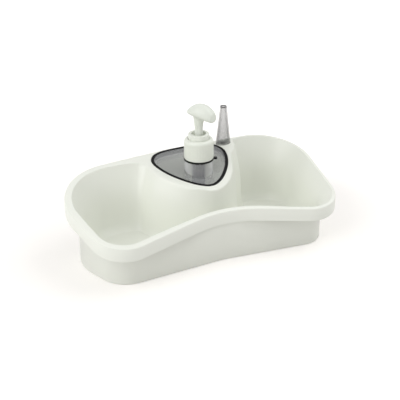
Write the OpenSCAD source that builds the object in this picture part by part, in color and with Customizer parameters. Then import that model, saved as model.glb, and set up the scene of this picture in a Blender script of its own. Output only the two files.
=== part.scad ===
// Soap pump caddy: a kidney-shaped sink tray with two bowls, an island that holds liquid soap
// under a smoke-grey lid, a lock-down lotion pump screwed to the lid, and a ring peg.
// The tray rests on Z = 0, X runs along the tray, the waist faces -Y.

/* [Tray outline] */
// Length of the rim, left to right
tray_l = 286; // [250:1:330]
// Depth of the rim, front to back
tray_w = 149; // [138:0.5:165]
// Radius of the back left corner of the rim
corner_bl = 65; // [58:1:68]
// Radius of the front left corner of the rim
corner_fl = 33.5; // [28:0.5:38]
// Radius of the front right corner of the rim
corner_fr = 34; // [31:0.5:39]
// Radius of the back right corner of the rim
corner_br = 54.5; // [48:0.5:58]
// How far the front left lobe stands in from the left end
taper_l = 7; // [2:0.5:12]
// How far the front right lobe stands in from the right end
taper_r = 7; // [3:0.5:11]
// How far the front left lobe stands behind the front right lobe
lobe_step = 3; // [0:0.5:6]
// Radius of the waist's hollow curve
waist_r = 118; // [100:1:140]
// How far the waist cuts in behind the front right lobe
waist_cut = 26; // [18:0.5:29]
// Distance of the waist from the middle of the tray
waist_x = 3; // [-6:0.5:12]
// Radius of the bowed back edge
back_bow_r = 500; // [450:10:560]
// How far the back left corner stands in from the bow behind the lid
back_drop_l = 6; // [5:0.5:8]
// How far the back right corner stands in from the bow behind the lid
back_drop_r = 1; // [0.5:0.5:3]

/* [Tray section] */
// Height of the rim at the front
rim_front_h = 51.5; // [46:0.5:58]
// Height of the rim at the back
rim_back_h = 81; // [75:0.5:86]
// Wall thickness of the moulding
shell_t = 2.6; // [2.2:0.1:3]
// Height of the skirt that hangs from the rim
skirt_h = 14; // [12:0.5:16]
// Rounding of the rim's outer edge
rim_round = 2; // [1.2:0.1:2.4]
// Width of the rim's top, before its share at each end
flange_w = 6; // [5:0.5:7]
// How far the rim overhangs the base wall at the left end
overhang_l = 12.5; // [10:0.5:15]
// How far the rim overhangs the base wall at the right end
overhang_r = 10; // [8.5:0.5:13]
// How far the front left lobe overhangs the base wall
overhang_fl = 19.5; // [16:0.5:21]
// How far the front right lobe overhangs the base wall
overhang_fr = 18; // [15:0.5:20]
// How far the rim overhangs the base wall behind the lid
overhang_back = 1.5; // [1:0.1:1.8]
// How far the base wall stands in at the waist, where skirt and wall run flush
waist_step = 1.5; // [1:0.1:2.5]
// Radius of the front left corner of the base wall
base_fl = 31; // [28:0.5:34]
// Radius of the front right corner of the base wall
base_fr = 25; // [23:0.5:28]
// Radius of the bowed back of the base wall
base_bow_r = 260; // [250:5:290]
// Largest fillet between bowl wall and bowl floor
bowl_fillet = 17; // [12:1:20]
// Height of the bowl floors above the sink top
floor_z = 8; // [6:0.5:11]
// Rounding of the base wall's lower edge
base_round = 2; // [1.5:0.1:3]

/* [Soap lid] */
// Width of the well's mouth across the lid
lid_w = 86.4; // [78:0.2:90]
// Length of the well's mouth, front to back
lid_l = 77.2; // [70:0.2:80]
// Distance from the pump's axis to the back of the well's mouth
lid_back = 44.8; // [43:0.2:45]
// Width of the black seal that shows round the lid
seal_w = 3.2; // [2:0.1:3.4]
// Depth of the seal
seal_h = 5; // [4:0.5:6]
// Play between the seal and the well's mouth
seal_gap = 0.3; // [0.2:0.05:0.4]
// Thickness of the lid's plate
lid_t = 2.6; // [2:0.1:3.2]
// Depth of the lid's plug below the plate
plug_h = 6; // [4:0.5:8]
// Distance from the pump's axis to the tray's back edge
pump_back = 46.5; // [46:0.25:47]
// Distance of the pump's axis from the middle of the tray
pump_x = 12.5; // [8:0.5:17]
// Height of the lid's boss above the lid at the pump's axis
boss_h = 12; // [9:0.5:15]
// Outer radius of the boss
boss_r = 15.2; // [14.8:0.1:15.4]

/* [Pump] */
// Outer radius of the screw closure
closure_r = 15.7; // [15.6:0.1:16.4]
// Height of the screw closure
closure_h = 22; // [20:0.5:25]
// Outer radius of the threaded neck
neck_r = 13.3; // [12.9:0.1:13.4]
// Screw pitch of the closure; the neck is four turns high
thread_pitch = 3.18; // [2.8:0.01:3.4]
// Thickness of the black ring under the closure
ring_t = 1.8; // [1.2:0.1:2.4]
// Outer radius of the lock collar
collar_r = 11.2; // [10.8:0.1:11.6]
// Height of the lock collar above the closure
collar_h = 5.3; // [4.5:0.1:6]
// Bore radius of the pump's cylinder
cylinder_r = 6; // [5.5:0.1:6.4]
// Outer radius of the stem
stem_r = 3.25; // [3:0.05:3.4]
// Travel of the pump head
stroke = 14; // [10:0.5:15]
// Outer radius of the dip tube
tube_r = 2.6; // [2.3:0.1:2.8]
// Clearance of the dip tube above the well's floor
tube_gap = 5; // [3:0.5:8]
// Wire radius of the return spring
wire_r = 0.45; // [0.35:0.05:0.5]
// Turns of the return spring
spring_turns = 7; // [5:1:8]

/* [Pump head] */
// Length of the head over pad and spout
head_l = 32.5; // [30:0.5:38]
// Width of the thumb pad
head_w = 21.6; // [18:0.2:24]
// Height of the head from spout lip to crown
head_h = 17.7; // [15:0.1:20]
// How far the pad reaches behind the pump's axis
pad_back = 13.5; // [11:0.5:16]
// Height of the crown above the closure's lower edge
crown_h = 60.6; // [60:0.1:66]
// Outer radius of the head's neck
head_neck_r = 4.5; // [4.2:0.05:4.6]
// Direction of the spout, turned from the front towards the right
spout_turn = 28; // [0:1:90]

/* [Ring peg] */
// Distance of the peg's axis from the pump's axis, to the right
peg_x = 48.2; // [48:0.1:50]
// Distance of the peg's axis from the pump's axis, to the back
peg_y = 37.1; // [37:0.1:37.6]
// Height of the peg
peg_h = 44; // [30:1:55]
// Half width of the peg's foot
peg_foot_x = 9; // [8:0.1:9.2]
// Half depth of the peg's foot
peg_foot_y = 4.6; // [4:0.1:4.8]
// Radius of the peg's top
peg_top_r = 3.8; // [3.2:0.1:4.6]
// Wall thickness of the peg
peg_t = 1.4; // [1:0.1:1.8]

/* [Hidden] */
$fn = 64;

// Overrun of cuts past the faces they open
cut = 1;
// Running clearance of the piston, the head's socket and the collar in the cylinder
run_gap = 0.05;
// Clearance between pieces that pass each other
pass_gap = 0.4;
// Points on each corner arc of an outline
arc_n = 15;
// Points on each stretch between two points of a curve
curve_n = 3;

rim_slope = (rim_back_h - rim_front_h) / tray_w;
rim_mid_h = (rim_back_h + rim_front_h) / 2;
pump_y = tray_w / 2 - pump_back;

// Height of the sloping rim plane at a depth y
function rim_z(y) = rim_mid_h + y * rim_slope;

lid_z = rim_z(pump_y);
ring_z = lid_z + boss_h;
closure_z = ring_z + ring_t;

// Circles of the rim as [x, y, radius]; a hollow curve has a negative radius
rim_circles = [
    [-tray_l / 2 + corner_bl, tray_w / 2 - back_drop_l - corner_bl, corner_bl],
    [-tray_l / 2 + taper_l + corner_fl, -tray_w / 2 + lobe_step + corner_fl, corner_fl],
    [waist_x, -tray_w / 2 + waist_cut - waist_r, -waist_r],
    [tray_l / 2 - taper_r - corner_fr, -tray_w / 2 + corner_fr, corner_fr],
    [tray_l / 2 - corner_br, tray_w / 2 - back_drop_r - corner_br, corner_br],
    [pump_x, tray_w / 2 - back_bow_r, back_bow_r]];

// The base wall stands in under the rim, little behind the lid and flush at the waist
base_circles = [
    rim_circles[0] + [0, 0, -overhang_l],
    [-tray_l / 2 + taper_l + overhang_l + base_fl,
        -tray_w / 2 + lobe_step + overhang_fl + base_fl, base_fl],
    rim_circles[2] + [0, 0, -waist_step],
    [tray_l / 2 - taper_r - overhang_r - base_fr, -tray_w / 2 + overhang_fr + base_fr, base_fr],
    rim_circles[4] + [0, 0, -overhang_r],
    [pump_x, tray_w / 2 - overhang_back - base_bow_r, base_bow_r]];

// Heading of the straight line that leaves circle p and meets circle q
function heading(p, q) =
    atan2(q.y - p.y, q.x - p.x) + asin(held((p.z - q.z) / norm([q.x - p.x, q.y - p.y])));
function held(v) = max(-1, min(1, v));
function full_turn(a) = a - 360 * floor(a / 360);
// Points of one arc between two headings
function arc(c, from, to) =
    let (turn = c.z > 0 ? full_turn(to - from) : -full_turn(from - to))
    [for (i = [0 : arc_n - 1]) let (h = from + turn * i / (arc_n - 1))
        [c.x + c.z * sin(h), c.y - c.z * cos(h)]];
// Circles moved outwards by d
function grown(circles, d) = [for (c = circles) [c.x, c.y, c.z + d]];
// Closed outline round a list of circles
function outline(circles) = let (n = len(circles)) [for (i = [0 : n - 1])
    each arc(circles[i], heading(circles[(i + n - 1) % n], circles[i]),
        heading(circles[i], circles[(i + 1) % n]))];
// Open outline that comes in and goes out heading left along the back edge
function open_outline(circles) = let (n = len(circles)) [for (i = [0 : n - 1])
    each arc(circles[i], i == 0 ? 180 : heading(circles[i - 1], circles[i]),
        i == n - 1 ? 180 : heading(circles[i], circles[i + 1]))];

// Smooth curve through points, closed or open
function curve_point(a, b, c, d, t) = b + ((c - a) * t + (2 * a - 5 * b + 4 * c - d) * t * t
    + (3 * b - a - 3 * c + d) * t * t * t) / 2;
function closed_curve(p) = let (n = len(p)) [for (i = [0 : n - 1], k = [0 : curve_n - 1])
    curve_point(p[(i + n - 1) % n], p[i], p[(i + 1) % n], p[(i + 2) % n], k / curve_n)];
function open_curve(p) = let (n = len(p)) concat([for (i = [0 : n - 2], k = [0 : curve_n - 1])
    curve_point(p[max(i - 1, 0)], p[i], p[i + 1], p[min(i + 2, n - 1)], k / curve_n)], [p[n - 1]]);
// Closed outline moved outwards by d
function offset_outline(p, d) = let (n = len(p)) [for (i = [0 : n - 1])
    let (t = p[(i + 1) % n] - p[(i + n - 1) % n]) p[i] + d * [t.y, -t.x] / norm(t)];

// Solid between rings of equal length, listed from the bottom up, each seen anticlockwise
module loft(rings) {
    n = len(rings[0]);
    m = len(rings);
    polyhedron(points = [for (r = rings) each r], faces = concat(
        [[for (i = [0 : n - 1]) i]],
        [for (j = [0 : m - 2], i = [0 : n - 1]) let (k = (i + 1) % n) each
            [[j * n + i, (j + 1) * n + i, (j + 1) * n + k], [j * n + i, (j + 1) * n + k, j * n + k]]],
        [[for (i = [n - 1 : -1 : 0]) (m - 1) * n + i]]), convexity = 10);
}
function at_z(p, z) = [for (q = p) [q.x, q.y, z]];
function at_rim(p, dz) = [for (q = p) [q.x, q.y, rim_z(q.y) + dz]];
// All that lies between two planes parallel to the rim plane, at heights low and high over it
module between(low, high) {
    tilt = atan(rim_slope);
    translate([0, 0, rim_mid_h]) rotate([tilt, 0, 0]) translate([-tray_l, -tray_w, low * cos(tilt)])
        cube([2 * tray_l, 2 * tray_w, (high - low) * cos(tilt)]);
}
// Upright wall on an outline, cut off by the two planes
module rim_slab(p, low, high) {
    intersection() {
        linear_extrude(height = 2 * rim_back_h) polygon(p);
        between(low, high);
    }
}

// Right half of the well's mouth from back to front, in shares of half its width and its length
lid_half_share = [[0.35, 0.004], [0.65, 0.027], [0.868, 0.09], [1, 0.215], [0.98, 0.37],
    [0.84, 0.565], [0.625, 0.745], [0.38, 0.895], [0.155, 0.98]];
lid_right = [for (s = lid_half_share) [s.x * lid_w / 2, lid_back - s.y * lid_l]];
lid_left = [for (i = [len(lid_right) - 1 : -1 : 0]) [-lid_right[i].x, lid_right[i].y]];
// Anticlockwise outline of the well's mouth, moved outwards by d
function mouth_at(d) = offset_outline(closed_curve(
    [for (p = concat([[0, lid_back]], [for (i = [len(lid_left) - 1 : -1 : 0]) lid_left[i]],
        [[0, lid_back - lid_l]], [for (i = [len(lid_right) - 1 : -1 : 0]) lid_right[i]]))
        p + [pump_x, pump_y]]), d);

// Foot of the island's flank at the rim plane, right to left round the front of the lid,
// in shares of half the lid's width and of the lid's length, from the pump's axis
island_share = [[1.38, 0.4], [1.29, 0.33], [1.13, 0.25], [1.02, 0.12], [0.905, -0.04],
    [0.75, -0.205], [0.52, -0.36], [0.24, -0.47], [0, -0.5], [-0.24, -0.47], [-0.53, -0.36],
    [-0.79, -0.205], [-0.985, -0.04], [-1.11, 0.11], [-1.17, 0.25]];
// How the flank spreads from the rim plane to the bowl floor
flank_right_share = 1.04;
flank_left_share = 1.35;
flank_depth_share = 0.755;
flank_front_share = 0.22;
function island_at(spread) = [for (s = island_share)
    let (x = s.x * lid_w / 2, y = s.y * lid_l,
        kx = 1 + spread * ((s.x > 0 ? flank_right_share : flank_left_share) - 1),
        ky = 1 + spread * (flank_depth_share - 1))
    [pump_x + x * kx, pump_y + y * ky - spread * flank_front_share * lid_l]];
// Open curve round the front of the island, drawn in by d
function drawn_in(p, d) = let (n = len(p)) [for (i = [0 : n - 1])
    let (t = p[min(i + 1, n - 1)] - p[max(i - 1, 0)]) p[i] + d * [t.y, -t.x] / norm(t)];

// Share of the rim's width at the back left, front left, waist, front right and back right
flange_share = [1.25, 1.08, 0.8, 0.6, 0.7];
// Share of the largest fillet that each corner of the bowls takes
fillet_share = [1, 0.55, 0.35, 0.5, 0.75];
// The bowl wall stands inside the base wall, with a narrow gap between the two
bowl_in = shell_t * 2.4;
// Outline of the bowls at a spread from rim (0) to floor (1), grown by d into the wall
function bowl_outline(throat, fillet, d) =
    let (c = [for (i = [0 : 4]) (1 - throat) * rim_circles[i] + throat * base_circles[i]
            + [0, 0, d - flange_share[i] * flange_w * (1 - throat) - bowl_in * throat
            - fillet * fillet_share[i] * bowl_fillet]],
        isle = drawn_in(open_curve(island_at((throat + fillet) / 2)), d),
        rim = open_outline(c),
        right = isle[0],
        left = isle[len(isle) - 1],
        right_back = rim[len(rim) - 1].y,
        left_back = rim[0].y)
    concat(rim, corner([right.x + (rim[len(rim) - 1].x - right.x) * 0.4, right_back],
            [right.x, right_back], right), isle,
        corner(left, [left.x, left_back], [left.x - (left.x - rim[0].x) * 0.75, left_back]));
// Points that round a corner off between a and c past b
function corner(a, b, c) = [for (t = [0.1, 0.3, 0.5, 0.7, 0.9])
    a * (1 - t) * (1 - t) + b * 2 * t * (1 - t) + c * t * t];

// Depth shares of the rings of the bowls, and the curve of throat and fillet over them
bowl_depth_share = [1, 0.985, 0.94, 0.85, 0.7, 0.5, 0.3, 0.18, 0.09, 0.03];
// How far the bowls' cut runs on past the rim plane, as a share of its depth
bowl_over_share = 0.02;
throat_end_share = 0.45;
throat_power = 1.3;
fillet_power = 2.8;
function throat_curve(b) = 1 - pow(1 - min(b / throat_end_share, 1), throat_power);
function fillet_curve(b) = 1 - pow(1 - pow(max(b, 0), fillet_power), 1 / fillet_power);
module bowls(d) {
    loft([for (b = concat(bowl_depth_share, [d > 0 ? 0 : -bowl_over_share]))
        let (p = bowl_outline(throat_curve(b), fillet_curve(b), d), down = b == 0 ? d / 3 : 0)
        [for (q = p) [q.x, q.y, rim_z(q.y) * (1 - b) + (floor_z - d) * b - down]]]);
}

// Solid of the base wall, solid through
module base_block() {
    loft([at_z(outline(grown(base_circles, -base_round)), 0),
        at_z(outline(grown(base_circles, -base_round * 0.3)), base_round * 0.3),
        at_z(outline(base_circles), base_round),
        at_rim(outline(base_circles), -shell_t / 2)]);
}
// Rim slab with its hanging skirt
module rim_and_skirt() {
    difference() {
        intersection() {
            loft([at_rim(outline(rim_circles), -skirt_h - cut),
                at_rim(outline(rim_circles), -rim_round),
                at_rim(outline(grown(rim_circles, -rim_round * 0.3)), -rim_round * 0.3),
                at_rim(outline(grown(rim_circles, -rim_round * 1.7)), rim_round * 0.3)]);
            between(-skirt_h, 0);
        }
        rim_slab(outline(grown(rim_circles, -shell_t)), -skirt_h - cut, -shell_t);
    }
}
// Hollow under the tray, open to the sink top
module under_hollow() {
    difference() {
        intersection() {
            loft([at_z(outline(grown(base_circles, -shell_t - base_round)), -cut),
                at_z(outline(grown(base_circles, -shell_t)), base_round),
                at_rim(outline(grown(base_circles, -shell_t)), 0)]);
            between(-2 * rim_back_h, -shell_t);
        }
        bowls(shell_t);
        well(shell_t);
        peg_bore(peg_spigot_l + shell_t, peg_spigot_r + shell_t);
    }
}
// The soap well with the ledge that carries the seal, or with d its outer skin
ledge_w = seal_gap + seal_w + seal_gap;
module well(d) {
    intersection() {
        translate([0, 0, floor_z - d]) linear_extrude(height = rim_back_h) polygon(mouth_at(d - ledge_w));
        between(-2 * rim_back_h, -seal_h / 2);
    }
    rim_slab(mouth_at(d), -seal_h - d, d > 0 ? 0 : cut);
}

// The moulding, trued to its outer length and depth
module tray() {
    color([0.93, 0.94, 0.9]) resize([tray_l, tray_w, 0]) difference() {
        union() {
            base_block();
            rim_and_skirt();
            bowls(shell_t);
        }
        bowls(0);
        under_hollow();
        well(0);
        peg_bore(peg_spigot_l, peg_spigot_r);
    }
}

peg_spigot_r = peg_foot_y * 0.6;
peg_spigot_l = shell_t * 2.4;
// Bore for the peg's spigot, a depth below the rim plane
module peg_bore(depth, r) {
    translate([pump_x + peg_x, pump_y + peg_y, rim_z(pump_y + peg_y) - depth])
        cylinder(h = depth + peg_foot_y, r = r);
}
function ellipse(rx, ry) = [for (i = [0 : 39]) let (a = 9 * i)
    [pump_x + peg_x + rx * cos(a), pump_y + peg_y + ry * sin(a)]];
module ring_peg() {
    foot_z = rim_z(pump_y + peg_y);
    color([0.6, 0.6, 0.6, 0.6]) {
        difference() {
            loft([at_rim(ellipse(peg_foot_x, peg_foot_y), 0),
                at_z(ellipse(peg_top_r, peg_top_r), foot_z + peg_h)]);
            loft([at_rim(ellipse(peg_foot_x - peg_t, peg_foot_y - peg_t), peg_t),
                at_z(ellipse(peg_top_r - peg_t, peg_top_r - peg_t), foot_z + peg_h + cut)]);
        }
        translate([pump_x + peg_x, pump_y + peg_y, foot_z - peg_spigot_l + run_gap])
            cylinder(h = peg_spigot_l + peg_t, r = peg_spigot_r - run_gap);
    }
}

neck_h = thread_pitch * 4;
// Bore through the neck for the pump's cylinder
neck_bore_r = neck_r - shell_t * 0.8;
cup_r = neck_bore_r - pass_gap;
boss_t = shell_t * 0.8;
boss_low = lid_z - lid_t - boss_r * rim_slope - boss_t;
module at_pump() { translate([pump_x, pump_y, 0]) children(); }
module soap_lid() {
    color([0.35, 0.36, 0.36, 0.5]) {
        difference() {
            union() {
                rim_slab(mouth_at(-seal_gap - seal_w), -lid_t, 0);
                difference() {
                    rim_slab(mouth_at(-ledge_w - pass_gap), -lid_t - plug_h, -lid_t / 2);
                    rim_slab(mouth_at(-ledge_w - pass_gap - boss_t), -lid_t - plug_h - cut, cut);
                }
            }
            at_pump() translate([0, 0, boss_low]) cylinder(h = ring_z - boss_low, r = boss_r - boss_t / 2);
        }
        at_pump() rotate_extrude() polygon([
            [boss_r - boss_t, boss_low], [boss_r, boss_low], [boss_r, ring_z], [neck_r, ring_z],
            [neck_r, neck_top], [neck_bore_r, neck_top], [neck_bore_r, ring_z - boss_t],
            [boss_r - boss_t, ring_z - boss_t]]);
    }
}

module lid_seal() {
    color([0.06, 0.06, 0.06]) difference() {
        rim_slab(mouth_at(-seal_gap), -seal_h + run_gap, 0);
        rim_slab(mouth_at(-seal_gap - seal_w), -seal_h - cut, cut);
    }
}

// Solid ring between two radii, from a height and upwards
module tube(z, h, outer, inner) {
    translate([0, 0, z]) difference() {
        cylinder(h = h, r = outer);
        translate([0, 0, -cut]) cylinder(h = h + 2 * cut, r = inner);
    }
}

// Black ring on the boss, with a forked tab that shows at the right of the closure
tab_turn = -26;
tab_l = ring_t * 2.1;
tab_w = ring_t * 0.7;
module closure_ring() {
    color([0.05, 0.05, 0.05]) at_pump() {
        tube(ring_z, ring_t, closure_r + ring_t * 0.2, neck_r + run_gap * 2);
        for (side = [-1, 1]) rotate([0, 0, tab_turn]) translate(
            [closure_r - ring_t, side * tab_w - tab_w / 2, ring_z])
            cube([ring_t + tab_l, tab_w, ring_t]);
    }
}

// Flat washer between the neck's end and the pump's flange
washer_t = ring_t * 0.5;
neck_top = closure_z + neck_h;
flange_z = neck_top + washer_t;
flange_t = ring_t * 0.8;
module neck_washer() {
    color([0.85, 0.85, 0.82]) at_pump() tube(neck_top, washer_t, neck_r, neck_bore_r);
}

web_z = flange_z + flange_t;
web_t = shell_t * 0.75;
collar_tube_r = cup_r - shell_t * 0.5;
thread_gap = shell_t * 0.45;
closure_bore_r = neck_r + thread_gap;
closure_top = closure_z + closure_h;
closure_chamfer = shell_t * 1.2;
module screw_closure() {
    pocket_r = collar_r + pass_gap;
    color([0.88, 0.9, 0.85]) at_pump() rotate_extrude() polygon([
        [closure_bore_r, closure_z], [closure_r, closure_z],
        [closure_r, closure_top - closure_chamfer],
        [closure_r - closure_chamfer * 0.3, closure_top - closure_chamfer * 0.3],
        [closure_r - closure_chamfer, closure_top],
        [pocket_r, closure_top], [pocket_r, web_z + web_t],
        [collar_tube_r + pass_gap, web_z + web_t], [collar_tube_r + pass_gap, web_z],
        [closure_bore_r, web_z]]);
}

// The collar snaps into the pump's cylinder; its top well takes the head's neck when pressed
collar_top = closure_top + collar_h;
cup_low = closure_z;
bore_t = shell_t * 0.45;
collar_low = cup_low + bore_t + run_gap;
collar_stop = cup_low - shell_t * 0.4;
collar_hole_r = head_neck_r + pass_gap;
collar_well = collar_h * 1.2;
guide_t = shell_t * 0.75;
module lock_collar() {
    well_r = collar_r - shell_t * 1.3;
    foot_r = collar_hole_r + guide_t * 0.4;
    foot_top = collar_top - collar_well * 0.35;
    brim_low = web_z + web_t + run_gap;
    inner_r = collar_tube_r - shell_t * 0.6;
    edge = shell_t * 0.2;
    color([0.92, 0.94, 0.89]) at_pump() rotate_extrude() polygon([
        [stem_r + pass_gap, collar_stop], [cylinder_r - pass_gap, collar_stop],
        [cylinder_r - pass_gap, collar_low], [collar_tube_r, collar_low],
        [collar_tube_r, brim_low], [collar_r, brim_low], [collar_r, collar_top - edge],
        [collar_r - edge, collar_top], [well_r, collar_top],
        [well_r - edge, collar_top - collar_well * 0.8], [foot_r + guide_t * 0.3, foot_top],
        [foot_r, foot_top], [collar_hole_r, collar_top - collar_well],
        [collar_hole_r, collar_top - collar_well - guide_t],
        [inner_r, collar_top - collar_well - guide_t],
        [inner_r, collar_low + guide_t], [stem_r + pass_gap, collar_low + guide_t]]);
}

// Cylinder with its flange, cup, bore, ball cage, seat and dip tube socket; below the piston
// there is room for its stroke and for the spring pressed flat
piston_l = cylinder_r * 1.2;
piston_low = collar_stop - run_gap - piston_l;
spring_flat = (spring_turns + 1.5) * 2 * wire_r;
bore_low = piston_low - stroke - spring_flat;
ball_r = cylinder_r * 0.37;
ball_lift = ball_r * 0.9;
cage_r = ball_r * 1.3;
cage_t = shell_t * 0.75;
cage_top = bore_low - cage_t;
seat_r = ball_r * 0.65;
ball_drop = ball_r * sqrt(2) - seat_r;
ball_z = cage_top - ball_lift - ball_r;
seat_z = ball_z - run_gap - ball_drop;
socket_top = seat_z - shell_t * 0.3;
socket_l = tube_r * 2.8;
module pump_cylinder() {
    nozzle_r = tube_r + bore_t;
    cage_outer_r = cage_r + bore_t;
    cone_top = seat_z + cage_r - seat_r;
    color([0.93, 0.93, 0.9]) at_pump() rotate_extrude() polygon([
        [collar_tube_r + run_gap, flange_z + flange_t], [neck_r, flange_z + flange_t],
        [neck_r, flange_z], [cup_r, flange_z], [cup_r, cup_low],
        [cylinder_r + bore_t, cup_low - bore_t], [cylinder_r + bore_t, cage_top],
        [cage_outer_r, cage_top - bore_t], [cage_outer_r, socket_top],
        [nozzle_r, socket_top - bore_t], [nozzle_r, socket_top - socket_l],
        [tube_r + run_gap, socket_top - socket_l], [tube_r + run_gap, socket_top],
        [seat_r, socket_top], [seat_r, seat_z], [cage_r, cone_top], [cage_r, cage_top],
        [ball_r * 0.8, cage_top], [ball_r * 0.8, bore_low], [cylinder_r, bore_low],
        [cylinder_r, cup_low], [collar_tube_r + run_gap, cup_low + bore_t]]);
}

tube_low = floor_z + tube_gap;
module dip_tube() {
    color([0.9, 0.9, 0.88]) at_pump()
        tube(tube_low, socket_top - run_gap - tube_low, tube_r, tube_r * 0.7);
}

module inlet_ball() {
    color([0.75, 0.76, 0.78]) at_pump() translate([0, 0, ball_z]) sphere(r = ball_r);
}

// Piston on the stem's end, with a thin lip at both ends
lip_r = cylinder_r - run_gap;
waist_in = bore_t * 0.6;
module piston() {
    top = piston_low + piston_l;
    color([0.9, 0.9, 0.87]) at_pump() rotate_extrude() polygon([
        [stem_r + run_gap, piston_low], [lip_r, piston_low], [lip_r, piston_low + bore_t],
        [lip_r - waist_in, piston_low + 2 * bore_t], [lip_r - waist_in, top - 2 * bore_t],
        [lip_r, top - bore_t], [lip_r, top], [stem_r + run_gap, top]]);
}

// Spring from the cylinder's ledge to the piston, one unbroken wire
coil_r = cylinder_r - 3 * wire_r;
coil_low = bore_low + wire_r + run_gap;
coil_high = piston_low - wire_r - run_gap;
coil_steps = 8;
coil_sides = 6;
coil_pitch = (coil_high - coil_low) / spring_turns;
echo("least gap between turns of the spring", coil_pitch - 2 * wire_r);
module return_spring() {
    color([0.7, 0.71, 0.73]) at_pump() polyhedron(
        points = [for (i = [0 : spring_turns * coil_steps], k = [0 : coil_sides - 1])
            let (a = 360 * i / coil_steps, b = 360 * k / coil_sides, r = coil_r + wire_r * cos(b))
            [r * cos(a), r * sin(a),
                coil_low + coil_pitch * i / coil_steps + wire_r * sin(b)]],
        faces = let (m = coil_sides, n = spring_turns * coil_steps) concat(
            [[for (k = [m - 1 : -1 : 0]) k]],
            [for (i = [0 : n - 1], k = [0 : m - 1]) let (l = (k + 1) % m) each
                [[i * m + k, (i + 1) * m + l, (i + 1) * m + k], [i * m + k, i * m + l, (i + 1) * m + l]]],
            [[for (k = [0 : m - 1]) n * m + k]]));
}

// Stem from the piston up into the head's socket
stem_bore_r = stem_r * 0.58;
stem_top = closure_z + crown_h - head_h;
module pump_stem() {
    color([0.93, 0.94, 0.9]) at_pump() tube(piston_low, stem_top - piston_low, stem_r, stem_bore_r);
}

outlet_r = stem_r * 0.78;
outlet_z = stem_top + sqrt(outlet_r * outlet_r - stem_bore_r * stem_bore_r) + run_gap;
outlet_lift = outlet_r * 0.8;
module outlet_ball() {
    color([0.75, 0.76, 0.78]) at_pump() translate([0, 0, outlet_z]) sphere(r = outlet_r);
}

// Cross sections of the head from the pad's tip to the spout's end, in shares of length,
// half width, and height of the upper and the lower edge
head_share = [[0, 0.23, 0.42, 0.305], [0.045, 0.56, 0.565, 0.28], [0.16, 0.86, 0.77, 0.27],
    [0.31, 1, 0.93, 0.22], [0.485, 1, 1, 0.136], [0.66, 0.92, 0.97, 0.08], [0.8, 0.8, 0.87, 0.034],
    [0.91, 0.68, 0.73, 0.01], [1, 0.52, 0.55, 0]];
head_low = closure_z + crown_h - head_h;
head_sides = 24;
function head_ring(s) = [for (i = [0 : head_sides - 1])
    let (a = 360 * i / head_sides, top = s[2] * head_h, low = s[3] * head_h,
        mid = low + (top - low) * 0.4, up = sin(a) > 0)
    [s[1] * head_w / 2 * cos(a), pad_back - s[0] * head_l,
        head_low + mid + (up ? top - mid : mid - low) * sin(a)]];
neck_low = collar_top - collar_well - guide_t;
neck_flare_z = head_low + head_h * 0.14;
socket_r = stem_r + run_gap;
chamber_top = outlet_z + outlet_r + outlet_lift;
spout_r = head_neck_r * 0.36;
module pump_head() {
    spout_end = [0, pad_back - head_l + 2.2 * spout_r, head_low + 2 * spout_r];
    spout_run = [0, spout_end.y, spout_end.z - chamber_top + spout_r];
    color([0.93, 0.94, 0.9]) at_pump() rotate([0, 0, spout_turn]) difference() {
        union() {
            loft([for (s = head_share) head_ring(s)]);
            rotate_extrude() polygon([[0, neck_low], [head_neck_r, neck_low],
                [head_neck_r, closure_z + crown_h * 0.55], [head_neck_r * 1.1, closure_z + crown_h * 0.62],
                [head_neck_r * 1.38, neck_flare_z + shell_t], [0, neck_flare_z + shell_t]]);
        }
        translate([0, 0, neck_low - cut]) cylinder(h = stem_top - neck_low + cut, r = socket_r);
        translate([0, 0, stem_top - run_gap]) cylinder(h = chamber_top - stem_top, r = outlet_r * 1.15);
        translate([0, 0, chamber_top - spout_r]) rotate([90 - atan2(spout_run.z, -spout_run.y), 0, 0])
            cylinder(h = norm(spout_run) + spout_r / 2, r = spout_r);
        translate([0, spout_end.y, head_low - cut])
            cylinder(h = spout_end.z + spout_r / 3 - head_low + cut, r = spout_r);
    }
}

tray();
ring_peg();
soap_lid();
lid_seal();
closure_ring();
neck_washer();
screw_closure();
lock_collar();
pump_cylinder();
dip_tube();
inlet_ball();
return_spring();
piston();
pump_stem();
outlet_ball();
pump_head();
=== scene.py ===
# Soap pump caddy: an ivory sink tray with two bowls, a smoke-grey lid over its soap well, a
# lock-down lotion pump on the lid and a smoke-grey ring peg, on a white floor in soft light.
import math

import bpy
from mathutils.bvhtree import BVHTree
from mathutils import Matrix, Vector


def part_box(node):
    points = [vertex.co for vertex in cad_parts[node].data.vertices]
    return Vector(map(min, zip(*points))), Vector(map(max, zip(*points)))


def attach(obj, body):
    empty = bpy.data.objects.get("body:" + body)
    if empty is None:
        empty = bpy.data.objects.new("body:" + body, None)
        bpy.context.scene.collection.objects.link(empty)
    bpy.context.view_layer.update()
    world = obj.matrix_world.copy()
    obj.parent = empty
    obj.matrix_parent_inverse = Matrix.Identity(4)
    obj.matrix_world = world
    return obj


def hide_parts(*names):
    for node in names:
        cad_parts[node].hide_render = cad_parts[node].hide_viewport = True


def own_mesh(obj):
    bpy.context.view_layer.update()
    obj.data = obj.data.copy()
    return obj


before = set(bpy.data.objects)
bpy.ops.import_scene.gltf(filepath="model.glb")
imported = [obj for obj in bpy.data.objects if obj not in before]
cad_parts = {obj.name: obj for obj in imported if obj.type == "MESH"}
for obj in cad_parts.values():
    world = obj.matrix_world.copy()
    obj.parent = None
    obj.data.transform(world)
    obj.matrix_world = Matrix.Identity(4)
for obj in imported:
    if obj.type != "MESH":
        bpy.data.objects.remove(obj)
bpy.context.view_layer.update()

# --- Camera -------------------------------------------------------------------------------
# It stands left of the waist, looks 26 degrees down and 26 degrees to the right, and frames
# the caddy as the photograph does.
LOOK_TURN = math.radians(-26)
LOOK_DOWN = math.radians(26)
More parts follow.
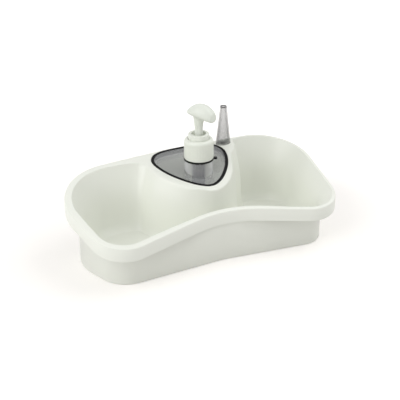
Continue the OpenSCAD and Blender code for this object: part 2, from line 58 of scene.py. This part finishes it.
bpy.ops.object.camera_add(
    location=(-0.3891, -0.7984, 0.4829), rotation=(math.pi / 2 - LOOK_DOWN, 0, LOOK_TURN)
)
camera = bpy.context.object
camera.data.sensor_fit = "HORIZONTAL"
camera.data.sensor_width = 36
camera.data.lens = 84.65
camera.data.clip_start = 0.01
bpy.context.scene.camera = camera


# --- Tray ---------------------------------------------------------------------------------
# One injection moulding in glossy ivory plastic: rim, skirt, two bowls, island with its soap
# well, and hollow base. The mould is polished, and every edge is softly rounded.
def only(*pieces):
    """Nothing is selected but these pieces, and the first is active."""
    bpy.ops.object.select_all(action="DESELECT")
    for piece in pieces:
        piece.select_set(True)
    if pieces:
        bpy.context.view_layer.objects.active = pieces[0]


def finish_with(piece, kind, **settings):
    """Adds one modifier to a piece and applies it."""
    only(piece)
    modifier = piece.modifiers.new(kind.title(), kind)
    for key, value in settings.items():
        setattr(modifier, key, value)
    bpy.ops.object.modifier_apply(modifier=modifier.name)


SAME_POINT = 1e-6


def joined_copy(node, name):
    """A new piece from a CAD node's mesh, with its loose triangles joined."""
    piece = bpy.data.objects.new(name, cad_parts[node].data.copy())
    bpy.context.collection.objects.link(piece)
    only(piece)
    piece.data.materials.clear()
    bpy.ops.mesh.customdata_custom_splitnormals_clear()
    bpy.ops.object.mode_set(mode="EDIT")
    bpy.ops.mesh.select_all(action="SELECT")
    bpy.ops.mesh.remove_doubles(threshold=SAME_POINT)
    bpy.ops.object.mode_set(mode="OBJECT")
    return piece


def smooth_faces(piece, angle=180, weighted=False):
    """Soft shading, with an edge kept where two faces meet at more than the angle."""
    only(piece)
    bpy.ops.object.shade_smooth_by_angle(angle=math.radians(angle))
    if weighted:
        finish_with(piece, "WEIGHTED_NORMAL", keep_sharp=True, weight=60)


def moulded_surface():
    """Node group for moulded plastic: a faint drift of colour, gloss that varies with
    handling, and the shallow ripple that a moulded skin shows in its reflections."""
    group = bpy.data.node_groups.new("moulded surface", "ShaderNodeTree")
    for name, kind, default in (
        ("Colour", "NodeSocketColor", (0.8, 0.8, 0.8, 1)),
        ("Drift", "NodeSocketFloat", 0.02),
        ("Gloss", "NodeSocketFloat", 0.3),
        ("Ripple size", "NodeSocketFloat", 90.0),
        ("Ripple depth", "NodeSocketFloat", 0.00002),
    ):
        socket = group.interface.new_socket(name=name, in_out="INPUT", socket_type=kind)
        socket.default_value = default
    for name, kind in (
        ("Colour", "NodeSocketColor"),
        ("Roughness", "NodeSocketFloat"),
        ("Normal", "NodeSocketVector"),
    ):
        group.interface.new_socket(name=name, in_out="OUTPUT", socket_type=kind)
    make, link = group.nodes.new, group.links.new
    given, out = make("NodeGroupInput"), make("NodeGroupOutput")
    place = make("ShaderNodeTexCoord")

    def patches(scale, detail):
        noise = make("ShaderNodeTexNoise")
        noise.inputs["Scale"].default_value = scale
        noise.inputs["Detail"].default_value = detail
        link(place.outputs["Object"], noise.inputs["Vector"])
        return noise

    broad = patches(scale=14, detail=3)
    shade = make("ShaderNodeMapRange")
    shade.inputs["From Min"].default_value = 0.3
    shade.inputs["From Max"].default_value = 0.7
    shade.inputs["To Min"].default_value = 1
    drop = make("ShaderNodeMath")
    drop.operation = "SUBTRACT"
    drop.inputs[0].default_value = 1
    link(given.outputs["Drift"], drop.inputs[1])
    link(drop.outputs[0], shade.inputs["To Max"])
    link(broad.outputs["Fac"], shade.inputs["Value"])
    tint = make("ShaderNodeVectorMath")
    tint.operation = "SCALE"
    link(given.outputs["Colour"], tint.inputs[0])
    link(shade.outputs["Result"], tint.inputs["Scale"])
    link(tint.outputs[0], out.inputs["Colour"])

    handled = patches(scale=45, detail=5)
    gloss = make("ShaderNodeMath")
    gloss.operation = "MULTIPLY_ADD"
    gloss.inputs[1].default_value = 0.1
    link(handled.outputs["Fac"], gloss.inputs[0])
    link(given.outputs["Gloss"], gloss.inputs[2])
    link(gloss.outputs[0], out.inputs["Roughness"])

    ripple = patches(scale=90, detail=2)
    link(given.outputs["Ripple size"], ripple.inputs["Scale"])
    bump = make("ShaderNodeBump")
    bump.inputs["Strength"].default_value = 1
    link(given.outputs["Ripple depth"], bump.inputs["Distance"])
    link(ripple.outputs["Fac"], bump.inputs["Height"])
    link(bump.outputs["Normal"], out.inputs["Normal"])
    return group


surface = moulded_surface()


def plastic(name, colour, gloss, drift=0.02, ripple=90, depth=0.00002, **sockets):
    """Moulded plastic. What is the same all over is set on the shader itself."""
    material = bpy.data.materials.new(name)
    material.use_nodes = True
    nodes, links = material.node_tree.nodes, material.node_tree.links
    shader = nodes["Principled BSDF"]
    skin = nodes.new("ShaderNodeGroup")
    skin.node_tree = surface
    skin.inputs["Colour"].default_value = (*colour, 1)
    skin.inputs["Drift"].default_value = drift
    skin.inputs["Gloss"].default_value = gloss
    skin.inputs["Ripple size"].default_value = ripple
    skin.inputs["Ripple depth"].default_value = depth
    links.new(skin.outputs["Colour"], shader.inputs["Base Color"])
    links.new(skin.outputs["Roughness"], shader.inputs["Roughness"])
    links.new(skin.outputs["Normal"], shader.inputs["Normal"])
    for key, value in sockets.items():
        shader.inputs[key.replace("_", " ")].default_value = value
    return material


def dress(piece, material):
    """The piece or CAD node is all of this one material."""
    piece.data.materials.clear()
    piece.data.materials.append(material)


def skin_of(node):
    """A CAD node's skin, for the distance of a point from it."""
    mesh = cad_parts[node].data
    corners = [v.co for v in mesh.vertices]
    return BVHTree.FromPolygons(corners, [face.vertices for face in mesh.polygons])


def ramp(value, low, high):
    """0 at the low value, 1 at the high one, and an even slope between them."""
    return max(0, min(1, (value - low) / (high - low)))


# The rim lies in a plane that climbs to the back.
RIM_MID, RIM_SLOPE = 0.06625, 0.197987


def below_rim(co):
    """How far a point of the tray lies below the plane of the rim."""
    return RIM_MID + RIM_SLOPE * co.y - co.z


PUMP_AXIS = (0.0125, 0.028)


def off_axis(co):
    """Distance of a point from the pump's axis."""
    return math.hypot(co.x - PUMP_AXIS[0], co.y - PUMP_AXIS[1])


# Where the softening of the island's edge fades: down the flank, away from the pump, and
# at the skins of the seal and the peg. It is gone at the first of a pair, full at the second.
EDGE_DOWN = 0.011, 0.007
EDGE_AWAY = 0.064, 0.058
EDGE_GAP = 0.0012, 0.0042
fitted_skins = skin_of("lid_seal"), skin_of("ring_peg")


def island_edge(v):
    """1 on the island's outer edge, falling to 0 at the seal, the peg and down the flank."""
    near = min(ramp(below_rim(v.co), *EDGE_DOWN), ramp(off_axis(v.co), *EDGE_AWAY))
    gap = near and min(skin.find_nearest(v.co)[3] for skin in fitted_skins)
    return min(near, ramp(gap, *EDGE_GAP))


# The inner side of the front wall lies in front of this line and faces back. Its softening
# fades in the same way at the rim, at the floor of the bowls and at their ends.
FRONT_WALL_Y = -0.02
FACES_BACK = 0.35
WALL_RIM = 0.001, 0.003
WALL_FLOOR = 0.012, 0.02
WALL_END = 0.125, 0.11


def front_wall(v):
    """1 on the inner side of the front wall, falling to 0 at the rim, floor and ends."""
    if v.co.y > FRONT_WALL_Y or v.normal.y < FACES_BACK:
        return 0
    return min(
        ramp(below_rim(v.co), *WALL_RIM),
        ramp(v.co.z, *WALL_FLOOR),
        ramp(abs(v.co.x), *WALL_END),
    )


def soften(piece, share, cuts, times):
    """Cuts the faces that have a share finer, then smooths each point by its share."""
    only(piece)
    shares = [share(v) for v in piece.data.vertices]
    bpy.ops.object.mode_set(mode="EDIT")
    bpy.ops.mesh.select_mode(type="FACE")
    bpy.ops.mesh.select_all(action="DESELECT")
    bpy.ops.object.mode_set(mode="OBJECT")
    for face in piece.data.polygons:
        face.select = any(shares[i] > 0 for i in face.vertices)
    bpy.ops.object.mode_set(mode="EDIT")
    bpy.ops.mesh.subdivide(number_cuts=cuts)
    bpy.ops.object.mode_set(mode="OBJECT")
    group = piece.vertex_groups.new(name=share.__name__)
    for v in piece.data.vertices:
        group.add([v.index], share(v), "REPLACE")
    finish_with(piece, "SMOOTH", factor=0.5, iterations=times, vertex_group=group.name)


ivory = plastic(
    "ivory moulding", (0.81, 0.826, 0.757), gloss=0.28, drift=0.015, Coat_Weight=0.1
)
tray = joined_copy("tray", "tray_moulding")
soften(tray, island_edge, cuts=2, times=12)
soften(tray, front_wall, cuts=2, times=30)
smooth_faces(tray, angle=30)
dress(tray, ivory)
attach(tray, "tray")
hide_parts("tray")


# --- Lid, seal, ring and washer -----------------------------------------------------------
# A clear smoke-grey moulding with a boss and threaded neck, sealed in the well's mouth by a
# band of black rubber. A thin black ring lies on the boss under the closure.
def clear(material, facing, edge_on, blend=0.4, shadow=0.15):
    """See-through plastic: thin where it faces the eye, dense where it turns away, and with
    only a share of that density for the light that falls through it."""
    nodes, links = material.node_tree.nodes, material.node_tree.links
    slant = nodes.new("ShaderNodeLayerWeight")
    slant.inputs["Blend"].default_value = blend
    density = nodes.new("ShaderNodeMapRange")
    density.inputs["To Min"].default_value = facing
    density.inputs["To Max"].default_value = edge_on
    links.new(slant.outputs["Facing"], density.inputs["Value"])
    path = nodes.new("ShaderNodeLightPath")
    share = nodes.new("ShaderNodeMapRange")
    share.inputs["To Min"].default_value = 1
    share.inputs["To Max"].default_value = shadow
    links.new(path.outputs["Is Shadow Ray"], share.inputs["Value"])
    thin = nodes.new("ShaderNodeMath")
    thin.operation = "MULTIPLY"
    links.new(density.outputs["Result"], thin.inputs[0])
    links.new(share.outputs["Result"], thin.inputs[1])
    links.new(thin.outputs[0], nodes["Principled BSDF"].inputs["Alpha"])
    return material


def smoke_plastic(name, colour, gloss, coat=0.5):
    """The lid's and the peg's plastic before it is made see-through."""
    return plastic(name, colour, gloss, drift=0.06, depth=0.00001, Coat_Weight=coat)


def dress_part(piece, material, chosen):
    """Gives a second material to the chosen faces."""
    piece.data.materials.append(material)
    for face in piece.data.polygons:
        if chosen(face):
            face.material_index = len(piece.data.materials) - 1


BOSS_R = 0.0156
BOSS_FOOT = 0.0728
UPRIGHT = 0.2


def on_the_boss(face):
    """Whether a face of the lid is on the boss or the neck."""
    return off_axis(face.center) < BOSS_R and face.center.z > BOSS_FOOT


def turned_in(face):
    """Whether a face of the lid looks down or in towards the pump's axis."""
    inward = (PUMP_AXIS[0] - face.center.x) * face.normal.x
    inward += (PUMP_AXIS[1] - face.center.y) * face.normal.y
    return face.normal.z < -UPRIGHT or (face.normal.z < UPRIGHT and inward > 0)


smoke = clear(
    smoke_plastic("smoke moulding", (0.44, 0.45, 0.45), gloss=0.03),
    facing=0.26, edge_on=0.7, shadow=0.1,
)
# The boss and neck get a much lighter copy of the smoke plastic: painted light, for the bright
# light that streaks through and off the boss.
smoke_boss_painted_light = clear(
    smoke_plastic("smoke boss painted light", (0.86, 0.87, 0.88), gloss=0.03),
    facing=0.18, edge_on=0.85, blend=0.6,
)
smoke_inside = clear(
    smoke_plastic("smoke inside", (0.5, 0.505, 0.515), gloss=0.05, coat=0),
    facing=0.03, edge_on=0.2,
)
lid = joined_copy("soap_lid", "lid_moulding")
smooth_faces(lid, angle=35, weighted=True)
dress(lid, smoke)
# The boss and neck wear the painted light.
dress_part(lid, smoke_boss_painted_light, on_the_boss)
dress_part(lid, smoke_inside, turned_in)
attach(lid, "lid")
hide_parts("soap_lid")

rubber = plastic(
    "seal rubber", (0.004, 0.004, 0.0045), gloss=0.6, drift=0.3, ripple=900,
    Specular_IOR_Level=0.15,
)
black = plastic(
    "black moulding", (0.004, 0.004, 0.004), gloss=0.3, drift=0.2, Specular_IOR_Level=0.2
)
natural = plastic("natural plastic", (0.78, 0.78, 0.74), gloss=0.35, drift=0.03)
for node, material in (
    ("lid_seal", rubber), ("closure_ring", black), ("neck_washer", natural),
):
    dress(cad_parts[node], material)

# --- Pump ---------------------------------------------------------------------------------
# A lock-down lotion pump moulded in white polypropylene: lock collar, cylinder painted dark
# grey as the shade under the smoke lid, dip tube, steel spring and balls, and a plunger that
# carries the smooth head, its white painted darker as shade.
white = plastic("pump white", (0.80, 0.825, 0.75), gloss=0.24)
# The cylinder's dark grey is painted shade, for the shade that falls on it inside the well
# under the smoke lid.
grey = plastic("cylinder grey painted as shade", (0.07, 0.07, 0.08), gloss=0.3, drift=0.1)
steel = plastic("spring steel", (0.55, 0.56, 0.58), gloss=0.22, drift=0.1, Metallic=1.0)
for node, material in (
    ("lock_collar", white), ("pump_cylinder", grey), ("pump_stem", white),
    ("dip_tube", natural), ("piston", natural),
    ("inlet_ball", steel), ("outlet_ball", steel),
):
    dress(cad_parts[node], material)

# On the real pump the spring's wire flattens by the whole stroke of the head; here it is a
# joined copy with its own mesh, riding with the pump.
spring = joined_copy("return_spring", "return_spring_wire")
smooth_faces(spring, angle=60)
dress(spring, steel)
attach(spring, "pump")
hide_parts("return_spring")
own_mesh(spring)

# The head is given one even skin, so that pad, spout and neck run softly into each other,
# and then four shallow hollows up its neck, which fade out at both ends.
NECK_LOW, NECK_HIGH = 0.1135, 0.1262
NECK_SOFTNESS = 0.2
SOCKET_R = 0.0041
FLUTES, FLUTE_TURN, FLUTE_DEPTH = 4, 2.4, 0.0005
head = joined_copy("pump_head", "pump_head_moulding")
finish_with(head, "REMESH", mode="VOXEL", voxel_size=0.0005)
softness = head.vertex_groups.new(name="softness")
for v in head.data.vertices:
    softness.add([v.index], 1 if v.co.z > NECK_HIGH else NECK_SOFTNESS, "REPLACE")
finish_with(head, "SMOOTH", factor=0.5, iterations=16, vertex_group="softness")
for v in head.data.vertices:
    away = off_axis(v.co)
    if SOCKET_R < away and NECK_LOW < v.co.z < NECK_HIGH:
        turn = math.atan2(v.co.y - PUMP_AXIS[1], v.co.x - PUMP_AXIS[0])
        rise = math.sin(math.pi * (v.co.z - NECK_LOW) / (NECK_HIGH - NECK_LOW))
        hollow = max(0, math.cos(FLUTES * turn + FLUTE_TURN)) ** 2
        shrink = 1 - FLUTE_DEPTH / away * rise * hollow
        v.co.x = PUMP_AXIS[0] + (v.co.x - PUMP_AXIS[0]) * shrink
        v.co.y = PUMP_AXIS[1] + (v.co.y - PUMP_AXIS[1]) * shrink
smooth_faces(head)
# The head's darker white is painted shade, for the lesser light that falls on its top.
dress(head, plastic("pump white painted darker as shade", (0.74, 0.77, 0.70), gloss=0.3))
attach(head, "head")
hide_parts("pump_head")


# --- Closure ------------------------------------------------------------------------------
# The screw closure that holds the pump on the lid's neck: a moulded white cap with fine
# upright grip ribs round its wall, a rounded shoulder and a pocket for the lock collar.
def pick(piece, chosen):
    """In edit mode, nothing is selected but the points that are chosen by their place."""
    bpy.ops.mesh.select_mode(type="VERT")
    bpy.ops.mesh.select_all(action="DESELECT")
    bpy.ops.object.mode_set(mode="OBJECT")
    for v in piece.data.vertices:
        v.select = chosen(v.co)
    bpy.ops.object.mode_set(mode="EDIT")


def drawn_ring(name, steps, rings):
    """A closed ring about the pump's axis: a circle extruded from each radius and height
    to the next, and last to the first."""
    only()
    radius, height = rings[0]
    bpy.ops.mesh.primitive_circle_add(
        vertices=steps, radius=radius, location=(*PUMP_AXIS, height)
    )
    piece = bpy.context.object
    piece.name = piece.data.name = name
    bpy.ops.object.mode_set(mode="EDIT")
    bpy.ops.mesh.select_mode(type="VERT")
    bpy.ops.mesh.select_all(action="SELECT")
    for next_radius, next_height in rings[1:] + rings[:1]:
        bpy.ops.mesh.extrude_region_move(
            TRANSFORM_OT_translate={"value": (0, 0, next_height - height)}
        )
        bpy.ops.transform.resize(
            value=(next_radius / radius, next_radius / radius, 1),
            center_override=(*PUMP_AXIS, next_height),
        )
        radius, height = next_radius, next_height
    bpy.ops.mesh.select_all(action="SELECT")
    bpy.ops.mesh.remove_doubles(threshold=SAME_POINT)
    bpy.ops.mesh.normals_make_consistent(inside=False)
    # Extrude numbers its faces anew each run, so they are put in a fixed order.
    bpy.ops.mesh.sort_elements(type="CURSOR_DISTANCE", elements={"FACE"})
    bpy.ops.object.mode_set(mode="OBJECT")
    bpy.ops.object.transform_apply(location=True, rotation=True, scale=True)
    return piece


RIBS = 60
STEPS_A_RIB = 4
STEPS_A_GROOVE = 2
RIB_DEPTH = 0.00028
RIBS_FROM_FOOT, RIBS_FROM_TOP = 0.001, 0.0036
cap_low, cap_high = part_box("screw_closure")
cap_foot, cap_top = cap_low[2], cap_high[2]
CAP_R = (cap_high[0] - cap_low[0]) / 2
CAP_WALL = 0.00123
ON_THE_WALL = 1e-5
POCKET_R = 0.01162
# Foot, wall, rounded shoulder, pocket and the inner wall's top, each as radius and height.
cap = drawn_ring("closure_moulding", RIBS * STEPS_A_RIB, [
    (CAP_R - CAP_WALL, cap_foot), (CAP_R - 0.0003, cap_foot),
    (CAP_R, cap_foot + 0.0004), (CAP_R, cap_foot + 0.0012),
    (CAP_R, cap_top - 0.0042), (CAP_R, cap_top - 0.0034),
    (CAP_R - 0.0003, cap_top - 0.0021), (CAP_R - 0.0009, cap_top - 0.001),
    (CAP_R - 0.0018, cap_top - 0.0003), (CAP_R - 0.0029, cap_top),
    (POCKET_R + 0.0002, cap_top), (POCKET_R, cap_top - 0.0003),
    (POCKET_R, cap_top - 0.0045), (CAP_R - CAP_WALL, cap_top - 0.0065),
])


def in_a_groove(co):
    """Whether a point of the closure's wall lies in a groove between two ribs."""
    turn = math.atan2(co.y - PUMP_AXIS[1], co.x - PUMP_AXIS[0]) / math.tau
    step = round(turn * RIBS * STEPS_A_RIB) % STEPS_A_RIB
    on_wall = off_axis(co) > CAP_R - ON_THE_WALL
    ribbed = cap_foot + RIBS_FROM_FOOT < co.z < cap_top - RIBS_FROM_TOP
    return on_wall and ribbed and step < STEPS_A_GROOVE


only(cap)
bpy.ops.object.mode_set(mode="EDIT")
pick(cap, in_a_groove)
bpy.ops.transform.resize(
    value=(1 - RIB_DEPTH / CAP_R, 1 - RIB_DEPTH / CAP_R, 1),
    center_override=(*PUMP_AXIS, cap_foot),
)
bpy.ops.object.mode_set(mode="OBJECT")
smooth_faces(cap, angle=40, weighted=True)
dress(cap, white)
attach(cap, "closure")
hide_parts("screw_closure")

# --- Ring peg -----------------------------------------------------------------------------
# A hollow cone in the lid's smoke-grey plastic, pressed into its bore behind the right bowl,
# for rings taken off at the sink. Its thick rims at the tip and the foot look darkest.
PEG_FOOT = 0.0745
PEG_RIM = 0.0014
tip_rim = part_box("ring_peg")[1][2] - PEG_RIM


def on_a_rim(face):
    """Whether a face of the peg is on its rim at the tip or at the foot."""
    return face.center.z > tip_rim or face.center.z < PEG_FOOT


peg_grey = clear(
    smoke_plastic("smoke peg", (0.09, 0.094, 0.09), gloss=0.04),
    facing=0.15, edge_on=1, blend=0.28,
)
peg_rim = plastic(
    "smoke peg rim", (0.05, 0.05, 0.055), gloss=0.08, drift=0.1, Coat_Weight=0.5, Alpha=0.75
)
peg = joined_copy("ring_peg", "ring_peg_moulding")
only(peg)
bpy.ops.object.mode_set(mode="EDIT")
for height in (PEG_FOOT, tip_rim):
    bpy.ops.mesh.select_all(action="SELECT")
    bpy.ops.mesh.bisect(plane_co=(0, 0, height), plane_no=(0, 0, 1))
bpy.ops.object.mode_set(mode="OBJECT")
smooth_faces(peg, angle=40, weighted=True)
dress(peg, peg_grey)
dress_part(peg, peg_rim, on_a_rim)
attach(peg, "tray")
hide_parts("ring_peg")


# --- Floor and light ----------------------------------------------------------------------
# A white floor that shows as the photograph's plain background with the caddy's own soft
# shadow, under a strong soft lamp on the left, a weaker one on the right and a white sky.
def bright_to_the_eye(nodes, links):
    """1 for a ray that the camera, a gloss or a glass looks along, and 0 for light."""
    path = nodes.new("ShaderNodeLightPath")
    total = path.outputs["Is Camera Ray"]
    for also in ("Is Glossy Ray", "Is Transmission Ray"):
        either = nodes.new("ShaderNodeMath")
        either.operation = "MAXIMUM"
        links.new(total, either.inputs[0])
        links.new(path.outputs[also], either.inputs[1])
        total = either.outputs[0]
    return total


SKY_LOW, SKY_HIGH = 0.3, 0.7
sky = bpy.data.worlds.new("white sky")
bpy.context.scene.world = sky
sky.use_nodes = True
nodes, links = sky.node_tree.nodes, sky.node_tree.links
way = nodes.new("ShaderNodeTexCoord")
height = nodes.new("ShaderNodeSeparateXYZ")
links.new(way.outputs["Generated"], height.inputs[0])
level = nodes.new("ShaderNodeMapRange")
level.inputs["To Min"].default_value = SKY_LOW
level.inputs["To Max"].default_value = SKY_HIGH
links.new(height.outputs["Z"], level.inputs["Value"])
seen = nodes.new("ShaderNodeMath")
seen.operation = "MAXIMUM"
links.new(level.outputs["Result"], seen.inputs[0])
links.new(bright_to_the_eye(nodes, links), seen.inputs[1])
links.new(seen.outputs[0], nodes["Background"].inputs["Strength"])
nodes["Background"].inputs["Color"].default_value = (1, 1, 1, 1)

# To the eye the paper glows a little near the caddy and fully from GLOW_TO outwards.
FLOOR_GLOW = 0.22
GLOW_FROM, GLOW_TO = 0.22, 0.6
PAPER_FOR_LIGHT = (0.82, 0.81, 0.80, 1)
PAPER_TO_THE_EYE = (0.86, 0.835, 0.81, 1)
bpy.ops.mesh.primitive_plane_add(size=8)
floor = bpy.context.object
floor.name = "floor"
paper = bpy.data.materials.new("white paper")
paper.use_nodes = True
nodes, links = paper.node_tree.nodes, paper.node_tree.links
shader = nodes["Principled BSDF"]
shader.inputs["Roughness"].default_value = 1
shader.inputs["Specular IOR Level"].default_value = 0
shader.inputs["Emission Color"].default_value = (1, 1, 1, 1)
eye = bright_to_the_eye(nodes, links)
shade = nodes.new("ShaderNodeMix")
shade.data_type = "RGBA"
shade.inputs["A"].default_value = PAPER_FOR_LIGHT
shade.inputs["B"].default_value = PAPER_TO_THE_EYE
links.new(eye, shade.inputs["Factor"])
links.new(shade.outputs["Result"], shader.inputs["Base Color"])
place = nodes.new("ShaderNodeTexCoord")
away = nodes.new("ShaderNodeVectorMath")
away.operation = "LENGTH"
links.new(place.outputs["Object"], away.inputs[0])
whiter = nodes.new("ShaderNodeMapRange")
whiter.inputs["From Min"].default_value = GLOW_FROM
whiter.inputs["From Max"].default_value = GLOW_TO
whiter.inputs["To Min"].default_value = FLOOR_GLOW
whiter.inputs["To Max"].default_value = 1
links.new(away.outputs["Value"], whiter.inputs["Value"])
glow = nodes.new("ShaderNodeMath")
glow.operation = "MULTIPLY"
links.new(eye, glow.inputs[0])
links.new(whiter.outputs["Result"], glow.inputs[1])
links.new(glow.outputs[0], shader.inputs["Emission Strength"])
dress(floor, paper)

for name, spot, size, power in (
    ("key lamp", (-1.35, -0.38, 0.95), 1.3, 14),
    ("fill lamp", (1.0, -0.25, 1.1), 1.4, 9),
):
    bpy.ops.object.light_add(type="AREA", location=spot)
    lamp = bpy.context.object
    lamp.name = name
    lamp.data.size = size
    lamp.data.energy = power
    lamp.rotation_euler = lamp.location.to_track_quat("Z", "Y").to_euler()

bpy.context.scene.view_settings.view_transform = "Standard"
